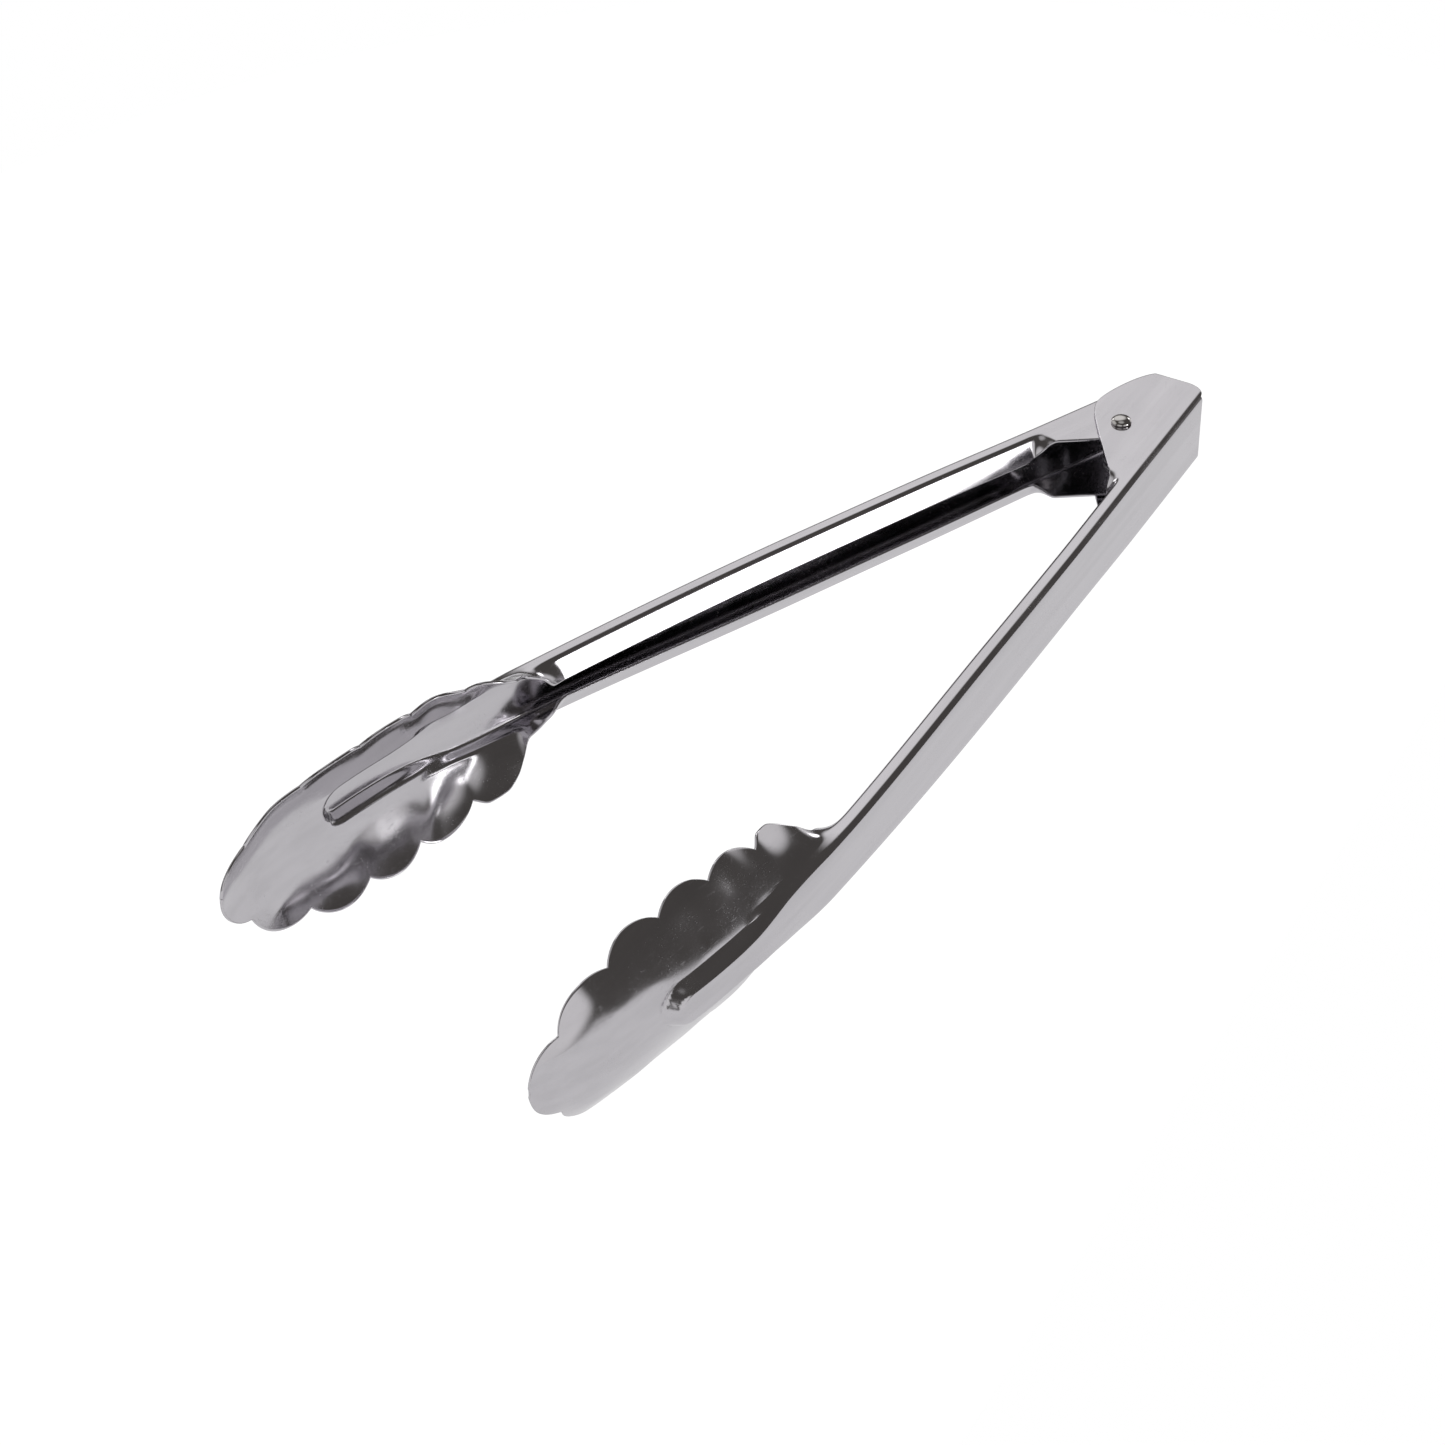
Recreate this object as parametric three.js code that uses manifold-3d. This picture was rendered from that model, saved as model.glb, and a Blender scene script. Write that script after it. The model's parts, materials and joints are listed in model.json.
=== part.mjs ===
// Spring loaded kitchen tongs: two stamped sheet steel arms, a rivet through their ears
// and a torsion spring coiled round the rivet.
// Units are millimetres. Z is the pivot axis, X runs from the pivot to the jaws along the
// bisector of the open arms, and +Y is the side of the outer arm. The origin is the bottom
// centre of the open tongs' bounding box.
//
// Each arm has its own coordinates: s runs along the arm from the pivot axis to the jaw tip,
// u points outwards, away from the other arm, and z runs along the pivot axis. The arm is
// one sheet. v is the distance across the flat blank from its centre line.
import * as THREE from 'three';
import { mergeVertices } from 'three/addons/utils/BufferGeometryUtils.js';
import Module from 'manifold-3d';

// Driving dimensions
const SHEET = 0.8;
const GAP = 0.3;
const JAW_REACH = 280.5;
const EAR_REACH = 25.7;
const WEB_REACH = 22;
const WEB_OFFSET = 14.1;
const EAR_HALF_WIDTH = 10.3;
const HANDLE_HALF_WIDTH = 9.7;
const OPEN_HALF_ANGLE = THREE.MathUtils.degToRad(11.9);
const RIVET_RADIUS = 2;
const RIVET_HEAD_RADIUS = 2.65;
const RIVET_HEAD_HEIGHT = 1.7;
const RIVET_HEAD_RIM = 0.45;
const WIRE_RADIUS = 0.7;
const COIL_RADIUS = 3.5;
const COIL_TURNS = 4;
const SPRING_LEG_REACH = 13;

// Bends of the channel section
const WEB_BEND_RADIUS = 1.3;
const WEB_BEND = THREE.MathUtils.degToRad(90);
const LIP_BEND_RADIUS = 1.1;
const LIP_BEND = THREE.MathUtils.degToRad(64);
const FLANGE_FLAT = 1.4;
const LIP_FLAT = 5.3;

// Places along the arm: where each change of the section starts and ends
const HANDLE_END = 172;
const NECK_WAIST = 188;
const JAW_START = 203.6;
const EAR_TAPER = [15, 60];
const HANDLE_TAPER = [100, 200];
const RIB_TAPER = [190, 225];
const RIB_RISE = [170, 230];
const RIB_BLEND = [JAW_START, 217.6];
const RIB_END = 245.3;

// The wings beside the rib start at an angle and curve gently, and fade into the tip's hollow.
const WING_ANGLE = THREE.MathUtils.degToRad(18);
const WING_RADIUS = 57;
const WING_FADE = [232, 254];
const PLATE_RETURN = [240, 282];
const SCOOP_RANGE = [184, JAW_START];
const TIP_CUP_RANGE = [262, 278];
const JAW_SWEEP_START = 110;
const PIVOT_LEAN_START = 90;

// How much each of those changes does: widths and sweeps in millimetres, radii of the
// hollow across the jaw, and shares of the two bend angles that the neck opens out
const HANDLE_NARROWING = 1.8;
const RIB_NARROWING = 2.5;
const RIB_HEIGHT = 3.3;
const JAW_SWEEP = 12;
const TIP_SWEEP = 12.4;
const PIVOT_LEAN = 1;
const SCOOP_RADIUS = 32;
const TIP_CUP_RADIUS = 75;
const WEB_BEND_OPENING = 0.4;
const LIP_WAIST_OPENING = 1.29;
const LIP_JAW_OPENING = 0.49;

// Outline of the jaw
const LOBE_BULGE = 0.42;
// Cusps between the lobes of the jaw, as [s, v]. The last one is where the tip lobe starts.
const CUSPS = [[JAW_START, 20.3], [220.5, 21], [236.9, 21.6], [254.8, 19.5], [271.8, 11.4]];
// Edge of the blank through the neck, from the end of the lip to the first cusp, as [s, v].
const NECK_EDGE = [
  [176.5, 16.5], [179.5, 14.4], [183.5, 14], [187.5, 17.4],
  [191, 20.4], [195, 22.3], [199.5, 22.6], CUSPS[0],
];

// The ear's front edge is a straight slant through frontAt, as [s, distance past the axis].
const ARMS = {
  outer: {
    side: 1,
    earHalfWidth: EAR_HALF_WIDTH,
    frontAt: [5.7, 4.4],
    frontSlope: 0.68,
    frontRounding: 4,
    lipBendRange: [20, 27],
    lipRange: [22, 30],
  },
  inner: {
    side: -1,
    earHalfWidth: EAR_HALF_WIDTH - SHEET - GAP,
    frontAt: [8.3, 0.95],
    frontSlope: 0.65,
    frontRounding: 2.4,
    lipBendRange: [17, 23],
    lipRange: [19, 26],
  },
};

const STEEL = { color: 0xb9b8bd, metalness: 1, roughness: 0.18 };

const wasm = await Module();
wasm.setup();

const mix = (a, b, t) => a + (b - a) * t;
const ramp = (v, start, end) => THREE.MathUtils.clamp((v - start) / (end - start), 0, 1);
const rise = (range, x) => THREE.MathUtils.smoothstep(x, range[0], range[1]);
const smoothMin = (a, b, rounding) => (a + b - Math.hypot(a - b, rounding)) / 2;
const span = (from, to, count) => Array.from({ length: count }, (_, i) => mix(from, to, i / count));

// Centre line of the web: nearly straight along the handle, leaning in a little at the
// pivot, then curving in through the jaw and curling in harder at the tip.
function webLine(s) {
  const jaw = Math.max(0, (s - JAW_SWEEP_START) / (JAW_REACH - JAW_SWEEP_START));
  const pivotEnd = Math.max(0, (PIVOT_LEAN_START - s) / (PIVOT_LEAN_START + EAR_REACH));
  return WEB_OFFSET - JAW_SWEEP * jaw ** 3 - TIP_SWEEP * jaw ** 7 - PIVOT_LEAN * pivotEnd ** 1.7;
}

// Half width over the two flanges. It narrows to the rib that runs into the jaw.
function halfWidth(s, arm) {
  const handle = mix(arm.earHalfWidth, HANDLE_HALF_WIDTH, rise(EAR_TAPER, s));
  return handle - HANDLE_NARROWING * rise(HANDLE_TAPER, s) - RIB_NARROWING * rise(RIB_TAPER, s);
}

const webFlat = (s, arm) => halfWidth(s, arm) - SHEET / 2 - WEB_BEND_RADIUS;
const webBendEnd = (s, arm) => webFlat(s, arm) + WEB_BEND_RADIUS * WEB_BEND;
const lipBendStart = (s, arm) => webBendEnd(s, arm) + FLANGE_FLAT;
const lipBendEnd = (s, arm) => lipBendStart(s, arm) + LIP_BEND_RADIUS * LIP_BEND;

// Turning angles of the channel's two bends, which open out through the neck.
function bends(s, arm) {
  const webShare = 1 - WEB_BEND_OPENING * rise([HANDLE_END, JAW_START], s);
  const lipShare = rise(arm.lipBendRange, s) - LIP_WAIST_OPENING * rise([HANDLE_END, NECK_WAIST], s)
    - LIP_JAW_OPENING * rise([NECK_WAIST, JAW_START], s);
  return { web: WEB_BEND * webShare, lip: LIP_BEND * lipShare };
}

// Curvature of the hollow across the jaw.
const hollow = (s) => rise(SCOOP_RANGE, s) / SCOOP_RADIUS + rise(TIP_CUP_RANGE, s) / TIP_CUP_RADIUS;

// The outer ears' rounded edge over the pivot: half of a parabola that opens from the back.
function roundedEarBack(s) {
  const vertex = -27;
  const width = 2.76;
  const drop = 1.25;
  return width * Math.sqrt(Math.max(0, s - vertex)) - drop;
}

// The inner ears' edge, which rests along the outer web when the tongs are fully open.
function stopEdge(s) {
  const outerWebFace = webLine(-EAR_REACH) - SHEET / 2 - GAP;
  const openAngle = 2 * OPEN_HALF_ANGLE;
  return (outerWebFace + s * Math.sin(openAngle)) / Math.cos(openAngle);
}

// Distance from the pivot axis to the ear's free edge, towards the other arm.
function earEdge(s, arm) {
  const back = arm.side > 0 ? roundedEarBack(s) : stopEdge(s);
  const [frontS, frontEdge] = arm.frontAt;
  return smoothMin(back, frontEdge - arm.frontSlope * (s - frontS), arm.frontRounding);
}

// Arc through two cusps, bulging outwards.
function lobeEdge(s, [s0, v0], [s1, v1]) {
  const half = Math.hypot(s1 - s0, v1 - v0) / 2;
  const bulge = LOBE_BULGE * half;
  const radius = (half * half + bulge * bulge) / (2 * bulge);
  const inset = radius - bulge;
  const centreS = (s0 + s1) / 2 + (v1 - v0) / (2 * half) * inset;
  const centreV = (v0 + v1) / 2 - (s1 - s0) / (2 * half) * inset;
  return centreV + Math.sqrt(Math.max(0, radius * radius - (s - centreS) ** 2));
}

const TIP_HALF = CUSPS.at(-1)[1];
const TIP_LENGTH = JAW_REACH - CUSPS.at(-1)[0];
const TIP_RADIUS = (TIP_HALF * TIP_HALF + TIP_LENGTH * TIP_LENGTH) / (2 * TIP_LENGTH);
const tipEdge = (s) => Math.sqrt(Math.max(0, TIP_RADIUS ** 2 - (s - JAW_REACH + TIP_RADIUS) ** 2));

// Monotone cubic curve through a few points.
function smoothCurve(points, x) {
  const slope = (i) => (points[i + 1][1] - points[i][1]) / (points[i + 1][0] - points[i][0]);
  const tangent = (i) => {
    if (i === 0) return slope(0);
    if (i === points.length - 1) return slope(i - 1);
    const before = slope(i - 1);
    const after = slope(i);
    return before * after <= 0 ? 0 : 2 * before * after / (before + after);
  };
  const i = Math.max(0, points.findLastIndex((p, k) => p[0] <= x && k < points.length - 1));
  const [x0, y0] = points[i];
  const [x1, y1] = points[i + 1];
  const h = x1 - x0;
  const t = (x - x0) / h;
  return y0 * (1 + 2 * t) * (1 - t) ** 2 + h * tangent(i) * t * (1 - t) ** 2
    + y1 * t * t * (3 - 2 * t) + h * tangent(i + 1) * t * t * (t - 1);
}

// Half width of the flat blank at s: the ear, the lipped handle, the neck and the lobes.
function blankEdge(s, arm) {
  const handle = lipBendEnd(s, arm) + LIP_FLAT;
  if (s < HANDLE_END) {
    const earS = Math.min(s, arm.lipRange[0]);
    const ear = webBendEnd(s, arm) + webLine(earS) + earEdge(earS, arm) - WEB_BEND_RADIUS;
    return mix(ear, handle, rise(arm.lipRange, s));
  }
  if (s < JAW_START) {
    return smoothCurve([[HANDLE_END, handle], ...NECK_EDGE], s);
  }
  const next = CUSPS.findIndex(([cuspS]) => s <= cuspS);
  if (next > 0) return lobeEdge(s, CUSPS[next - 1], CUSPS[next]);
  return next === 0 ? CUSPS[0][1] : tipEdge(s);
}

// Points of the channel at s: across is half the width, depth is measured in from the web.
function channelPoints(s, arm, distances) {
  const { web, lip } = bends(s, arm);
  const curvature = hollow(s);
  const angle = (v) => curvature * v + web * ramp(v, webFlat(s, arm), webBendEnd(s, arm))
    + lip * ramp(v, lipBendStart(s, arm), lipBendEnd(s, arm));
  const step = 0.1;
  let v = 0;
  let across = 0;
  let depth = 0;
  return distances.map((distance) => {
    while (v < distance) {
      const dv = Math.min(step, distance - v);
      const direction = angle(v + dv / 2);
      across += Math.cos(direction) * dv;
      depth += Math.sin(direction) * dv;
      v += dv;
    }
    return { across, depth };
  });
}

// Point of the jaw at s: a raised rib that ends in a half round, between two wings
// that turn into a round hollow at the tip.
function jawPoint(s, v, arm) {
  const crest = webFlat(s, arm);
  const base = webBendEnd(s, arm);
  const pastEnd = Math.max(0, s - (RIB_END - base));
  const plate = RIB_HEIGHT * rise(RIB_RISE, s) * (1 - rise(PLATE_RETURN, s));
  const drop = plate * rise([crest, base], Math.hypot(v, pastEnd));
  const curvature = hollow(s);
  const round = {
    across: Math.sin(curvature * v) / curvature,
    depth: (1 - Math.cos(curvature * v)) / curvature,
  };
  const bend = WING_ANGLE * ramp(v, crest, base);
  const bendRadius = (base - crest) / WING_ANGLE;
  const wingEnd = WING_ANGLE + Math.max(0, v - base) / WING_RADIUS;
  const wing = {
    across: Math.min(v, crest) + bendRadius * Math.sin(bend)
      + WING_RADIUS * (Math.sin(wingEnd) - Math.sin(WING_ANGLE)),
    depth: bendRadius * (1 - Math.cos(bend)) + WING_RADIUS * (Math.cos(WING_ANGLE) - Math.cos(wingEnd)),
  };
  const winged = rise(RIB_BLEND, s) * (1 - rise(WING_FADE, s));
  return {
    across: mix(round.across, wing.across, winged),
    depth: mix(round.depth, wing.depth, winged) + drop,
  };
}

// The channel turns into the jaw's plate and rib over the first lobe.
function sectionPoints(s, arm, distances) {
  const channel = channelPoints(s, arm, distances);
  const inJaw = rise(RIB_BLEND, s);
  if (inJaw === 0) return channel;
  return distances.map((v, j) => {
    const jaw = jawPoint(s, v, arm);
    return {
      across: mix(channel[j].across, jaw.across, inJaw),
      depth: mix(channel[j].depth, jaw.depth, inJaw),
    };
  });
}

// Places across the blank that carry the mesh: web, bend, flange, bend, lip or jaw wall.
// They draw together where the blank is too narrow to hold them all.
function columns(s, arm) {
  const edge = blankEdge(s, arm);
  const flat = webFlat(s, arm);
  const bend1 = webBendEnd(s, arm);
  const bend2 = lipBendStart(s, arm);
  const bend2End = lipBendEnd(s, arm);
  const inner = [0, flat / 2, flat, (flat + bend1) / 2, bend1, bend2, (bend2 + bend2End) / 2, bend2End];
  const narrowestWall = 2;
  const fit = Math.min(1, edge / (bend2End + narrowestWall));
  const fitted = inner.map((v) => v * fit);
  return [...fitted, (fitted.at(-1) + edge) / 2, edge];
}

// Stations along the arm, closest together round the ears, the neck and the lobes.
function stations(arm) {
  const [lipStart, lipEnd] = arm.lipRange;
  const lobeSteps = 9;
  const list = [
    -EAR_REACH, -24.6, -22, -18, -14, ...span(-10, 10, 8), ...span(10, lipStart, 3),
    ...span(lipStart, lipEnd, 4), lipEnd, EAR_TAPER[1], PIVOT_LEAN_START, JAW_SWEEP_START,
    HANDLE_END - 12, HANDLE_END - 2, ...span(HANDLE_END + 2, JAW_START, 13),
  ];
  for (let i = 0; i + 1 < CUSPS.length; i += 1) {
    const along = (k) => (1 - Math.cos(Math.PI * k / lobeSteps)) / 2;
    list.push(...span(0, lobeSteps, lobeSteps).map((k) => mix(CUSPS[i][0], CUSPS[i + 1][0], along(k))));
  }
  const tipStart = Math.acos((TIP_RADIUS - TIP_LENGTH) / TIP_RADIUS);
  const tipEnd = 0.1;
  const turns = [...span(tipStart, tipEnd, lobeSteps), tipEnd];
  return [...list, ...turns.map((turn) => JAW_REACH - TIP_RADIUS * (1 - Math.cos(turn)))];
}

// The web stops short of the ears' square back end, and the corner between is round.
function backEnd(s, v, arm) {
  const front = -12;
  const cornerWidth = 5.5;
  if (s >= front) return s;
  const cornerStart = (webFlat(s, arm) + webBendEnd(s, arm)) / 2;
  const corner = 1 - THREE.MathUtils.clamp((v - cornerStart) / cornerWidth, 0, 1);
  const reach = mix(WEB_REACH, EAR_REACH, Math.sqrt(1 - corner * corner));
  return front + (s - front) * (reach + front) / (EAR_REACH + front);
}

// Closed body from a grid of middle surface points: offset both ways by half the sheet.
function thickSheet(grid) {
  const rows = grid.length;
  const cols = grid[0].length;
  const at = (i, j) => grid[THREE.MathUtils.clamp(i, 0, rows - 1)][THREE.MathUtils.clamp(j, 0, cols - 1)];
  const positions = [];
  for (const offset of [SHEET / 2, -SHEET / 2]) {
    for (let i = 0; i < rows; i += 1) {
      for (let j = 0; j < cols; j += 1) {
        const along = at(i + 1, j).clone().sub(at(i - 1, j));
        const across = at(i, j + 1).clone().sub(at(i, j - 1));
        const normal = across.cross(along).normalize();
        positions.push(...at(i, j).clone().addScaledVector(normal, offset).toArray());
      }
    }
  }
  const index = [];
  const lower = rows * cols;
  const quad = (a, b, c, d) => index.push(a, b, c, a, c, d);
  for (let i = 0; i + 1 < rows; i += 1) {
    for (let j = 0; j + 1 < cols; j += 1) {
      const a = i * cols + j;
      quad(a, a + 1, a + cols + 1, a + cols);
      quad(lower + a, lower + a + cols, lower + a + cols + 1, lower + a + 1);
    }
  }
  for (let i = 0; i + 1 < rows; i += 1) {
    const first = i * cols;
    const last = first + cols - 1;
    quad(first, first + cols, lower + first + cols, lower + first);
    quad(last, lower + last, lower + last + cols, last + cols);
  }
  for (let j = 0; j + 1 < cols; j += 1) {
    const end = (rows - 1) * cols + j;
    quad(j, lower + j, lower + j + 1, j + 1);
    quad(end, end + 1, lower + end + 1, lower + end);
  }
  const geometry = new THREE.BufferGeometry();
  geometry.setAttribute('position', new THREE.Float32BufferAttribute(positions, 3));
  geometry.setIndex(index);
  return geometry;
}

function toSolid(geometry) {
  geometry.deleteAttribute('normal');
  geometry.deleteAttribute('uv');
  const merged = mergeVertices(geometry, 1e-4);
  return new wasm.Manifold(new wasm.Mesh({
    numProp: 3,
    vertProperties: new Float32Array(merged.attributes.position.array),
    triVerts: new Uint32Array(merged.index.array),
  }));
}

function toGeometry(solid) {
  const mesh = solid.getMesh();
  const geometry = new THREE.BufferGeometry();
  geometry.setAttribute('position', new THREE.BufferAttribute(mesh.vertProperties, 3));
  geometry.setIndex(new THREE.BufferAttribute(mesh.triVerts, 1));
  geometry.computeVertexNormals();
  return geometry;
}

// One arm, in its own s, u, z coordinates laid on X, Y, Z, with the rivet hole through
// both ears. The inner arm is the mirror image, with smaller ears.
function armGeometry(arm) {
  const grid = stations(arm).map((s) => {
    const distances = columns(s, arm);
    const section = sectionPoints(s, arm, distances);
    const half = section.map(({ across, depth }, j) => {
      const place = backEnd(s, distances[j], arm);
      return new THREE.Vector3(place, arm.side * (webLine(place) - depth), across);
    });
    const mirrored = half.slice(1).reverse().map((p) => new THREE.Vector3(p.x, p.y, -p.z));
    const row = [...mirrored, ...half];
    return arm.side > 0 ? row.reverse() : row;
  });
  const holeRadius = RIVET_RADIUS + GAP;
  const hole = new THREE.CylinderGeometry(holeRadius, holeRadius, 4 * EAR_HALF_WIDTH, 24);
  hole.rotateX(Math.PI / 2);
  return toGeometry(toSolid(thickSheet(grid)).subtract(toSolid(hole)));
}

// Rivet with a low domed head on each side, a little clear of the outer ears.
function rivetGeometry() {
  const seat = EAR_HALF_WIDTH + GAP;
  const domeSteps = [0, 0.35, 0.65, 0.9, 1];
  const dome = (side) => domeSteps.map((step) => {
    const turn = (side > 0 ? 1 - step : step) * Math.PI / 2;
    const height = RIVET_HEAD_RIM + (RIVET_HEAD_HEIGHT - RIVET_HEAD_RIM) * Math.cos(turn);
    return new THREE.Vector2(RIVET_HEAD_RADIUS * Math.sin(turn), side * (seat + height));
  });
  const profile = [
    ...dome(-1),
    new THREE.Vector2(RIVET_HEAD_RADIUS, -seat),
    new THREE.Vector2(RIVET_RADIUS, -seat),
    new THREE.Vector2(RIVET_RADIUS, seat),
    new THREE.Vector2(RIVET_HEAD_RADIUS, seat),
    ...dome(1),
  ];
  const geometry = new THREE.LatheGeometry(profile, 24);
  geometry.rotateX(Math.PI / 2);
  return geometry;
}

// Centre line of the torsion spring: a straight leg along each web and a coil between.
class SpringPath extends THREE.Curve {
  constructor() {
    super();
    const legU = webLine(SPRING_LEG_REACH) - SHEET / 2 - WIRE_RADIUS - 2 * GAP;
    const legEnd = new THREE.Vector2(SPRING_LEG_REACH, legU);
    legEnd.rotateAround(new THREE.Vector2(), OPEN_HALF_ANGLE);
    this.leaveAngle = legEnd.angle() + Math.acos(COIL_RADIUS / legEnd.length());
    this.legLength = Math.sqrt(legEnd.length() ** 2 - COIL_RADIUS ** 2);
    const sweep = 2 * (Math.PI - this.leaveAngle) + COIL_TURNS * 2 * Math.PI;
    this.coilLength = sweep * COIL_RADIUS;
    this.coilHeight = sweep / (2 * Math.PI) * (2 * WIRE_RADIUS + GAP);
  }

  getPoint(t, target = new THREE.Vector3()) {
    const place = t * (2 * this.legLength + this.coilLength) - this.legLength;
    const along = THREE.MathUtils.clamp(place, 0, this.coilLength);
    const turn = this.leaveAngle + along / COIL_RADIUS;
    const z = this.coilHeight * (along / this.coilLength - 0.5);
    const beyond = place - along;
    return target.set(
      COIL_RADIUS * Math.cos(turn) - Math.sin(turn) * beyond,
      COIL_RADIUS * Math.sin(turn) + Math.cos(turn) * beyond,
      z,
    );
  }
}

function springGeometry() {
  const wire = new THREE.Shape();
  wire.absarc(0, 0, WIRE_RADIUS, 0, 2 * Math.PI);
  return new THREE.ExtrudeGeometry(wire, { extrudePath: new SpringPath(), steps: 90, curveSegments: 4 });
}

function steelMesh(name, geometry, look = {}) {
  const mesh = new THREE.Mesh(geometry, new THREE.MeshStandardMaterial({ ...STEEL, ...look }));
  mesh.name = name;
  return mesh;
}

const outerArm = steelMesh('outer_arm', armGeometry(ARMS.outer));
outerArm.rotation.z = OPEN_HALF_ANGLE;

const innerArm = steelMesh('inner_arm', armGeometry(ARMS.inner));
innerArm.rotation.z = -OPEN_HALF_ANGLE;

const pivotRivet = steelMesh('pivot_rivet', rivetGeometry(), { color: 0xa9a8aa, roughness: 0.25 });
const torsionSpring = steelMesh('torsion_spring', springGeometry(), { color: 0x8d8c8f, roughness: 0.35 });

const tongs = new THREE.Group();
tongs.add(outerArm, innerArm, pivotRivet, torsionSpring);

const bounds = new THREE.Box3().setFromObject(tongs, true);
const centre = bounds.getCenter(new THREE.Vector3());
tongs.position.set(-centre.x, -centre.y, -bounds.min.z);

export default tongs;
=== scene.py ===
import json
import math

import bmesh
import bpy
import numpy as np
from mathutils import Matrix, Vector


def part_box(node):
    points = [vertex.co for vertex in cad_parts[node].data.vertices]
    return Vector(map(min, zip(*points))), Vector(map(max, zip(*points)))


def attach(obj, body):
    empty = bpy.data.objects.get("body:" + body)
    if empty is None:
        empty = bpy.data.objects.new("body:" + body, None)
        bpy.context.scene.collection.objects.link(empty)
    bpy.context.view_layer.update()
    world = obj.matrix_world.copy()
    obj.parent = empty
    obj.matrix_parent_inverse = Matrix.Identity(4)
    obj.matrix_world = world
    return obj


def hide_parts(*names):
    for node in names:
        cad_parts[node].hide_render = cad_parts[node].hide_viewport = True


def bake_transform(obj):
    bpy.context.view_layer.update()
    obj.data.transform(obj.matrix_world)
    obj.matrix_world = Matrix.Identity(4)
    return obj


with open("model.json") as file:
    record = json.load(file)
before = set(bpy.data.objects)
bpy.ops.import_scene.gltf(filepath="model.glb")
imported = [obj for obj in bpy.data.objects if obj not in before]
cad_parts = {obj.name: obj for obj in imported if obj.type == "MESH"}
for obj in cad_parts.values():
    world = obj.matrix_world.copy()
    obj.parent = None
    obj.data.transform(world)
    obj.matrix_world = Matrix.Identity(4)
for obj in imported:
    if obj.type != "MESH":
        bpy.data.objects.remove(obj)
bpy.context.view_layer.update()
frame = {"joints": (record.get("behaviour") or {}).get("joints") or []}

MM = 0.001
PIVOT = Vector(frame["joints"][0]["pos_m"])

# Each arm has its own coordinates: s runs along it from the pivot to the jaw tip, u points
# outwards, away from the other arm, and z runs along the pivot axis. v is the distance
# across the flat blank from its centre line.
# SHEET_PLAY keeps the rebuilt sheet just inside the solid one. RIM_ROUNDING is how far the
# sheet's round rims bulge, as a share of its thickness.
SHEET = 0.8
SHEET_PLAY = 0.01
RIM_ROUNDING = 0.3
GAP = 0.3
JAW_REACH = 280.5
EAR_REACH = 25.7
WEB_REACH = 22
WEB_OFFSET = 14.1
EAR_HALF_WIDTH = 10.3
HANDLE_HALF_WIDTH = 9.7
OPEN_HALF_ANGLE = math.radians(11.9)

# Rivet, the play round it, and the torsion spring
RIVET_RADIUS = 2
RIVET_HEAD_RADIUS = 2.65
RIVET_HEAD_HEIGHT = 1.7
RIVET_HEAD_RIM = 0.45
RIVET_HEAD_SHOULDER = 0.12
RIVET_HEAD_PLAY = 0.02
RIVET_HOLE_PLAY = 0.1
WIRE_RADIUS = 0.7
COIL_RADIUS = 3.5
COIL_TURNS = 4
SPRING_LEG_REACH = 13

# Bends of the channel section
WEB_BEND_RADIUS = 1.3
WEB_BEND = math.radians(90)
LIP_BEND_RADIUS = 1.1
LIP_BEND = math.radians(64)
FLANGE_FLAT = 1.4
LIP_FLAT = 5.3

# Places along the arm where the section changes, and how much each change does
HANDLE_END = 172
NECK_WAIST = 188
JAW_START = 203.6
EAR_TAPER = (15, 60)
HANDLE_TAPER = (100, 200)
RIB_TAPER = (190, 225)
SCOOP_RANGE = (184, JAW_START)
TIP_CUP_RANGE = (262, 278)
JAW_SWEEP_START = 110
PIVOT_LEAN_START = 90
HANDLE_NARROWING = 1.8
RIB_NARROWING = 2.5
JAW_SWEEP = 12
TIP_SWEEP = 12.4
PIVOT_LEAN = 1
SCOOP_RADIUS = 32
TIP_CUP_RADIUS = 75
WEB_BEND_OPENING = 0.4
LIP_WAIST_OPENING = 1.29
LIP_JAW_OPENING = 0.49

# The rib stands proud of the jaw's plate and ends in a half round. On each side of it the
# jaw is a wing that leaves the rib at an angle and curves on, up to where the rib ends.
RIB_HEIGHT = 3.3
RIB_RISE = (170, 230)
RIB_BLEND = (JAW_START, 217.6)
RIB_END = 245.3
PLATE_RETURN = (240, 282)
WING_ANGLE = math.radians(18)
WING_RADIUS = 57
WING_FADE = (232, 254)

# Outline of the jaw: cusps between the lobes as (s, v), and the neck's edge before them.
# A lobe's arc bulges by LOBE_BULGE of its half chord. Its middle is dished by LOBE_DISH, from
# LOBE_ROOT of the way across the jaw to its edge.
LOBE_BULGE = 0.42
LOBE_DISH = 0.18
LOBE_ROOT = 0.45
CUSPS = ((JAW_START, 20.3), (220.5, 21), (236.9, 21.6), (254.8, 19.5), (271.8, 11.4))
NECK_EDGE = (
    (176.5, 16.5), (179.5, 14.4), (183.5, 14), (187.5, 17.4),
    (191, 20.4), (195, 22.3), (199.5, 22.6), CUSPS[0],
)
TIP_HALF = CUSPS[-1][1]
TIP_LENGTH = JAW_REACH - CUSPS[-1][0]
TIP_RADIUS = (TIP_HALF**2 + TIP_LENGTH**2) / (2 * TIP_LENGTH)

# Behind BACK_CORNER_FRONT the web draws back from the ears' end. The round corner between
# them is BACK_CORNER_WIDTH wide.
BACK_CORNER_FRONT = -12
BACK_CORNER_WIDTH = 5.5

# The outer ear's back edge is a parabola, drawn from a vertex behind the ear
EAR_CURVE_VERTEX = -27
EAR_CURVE_WIDTH = 2.76
EAR_CURVE_DROP = 1.25

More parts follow.
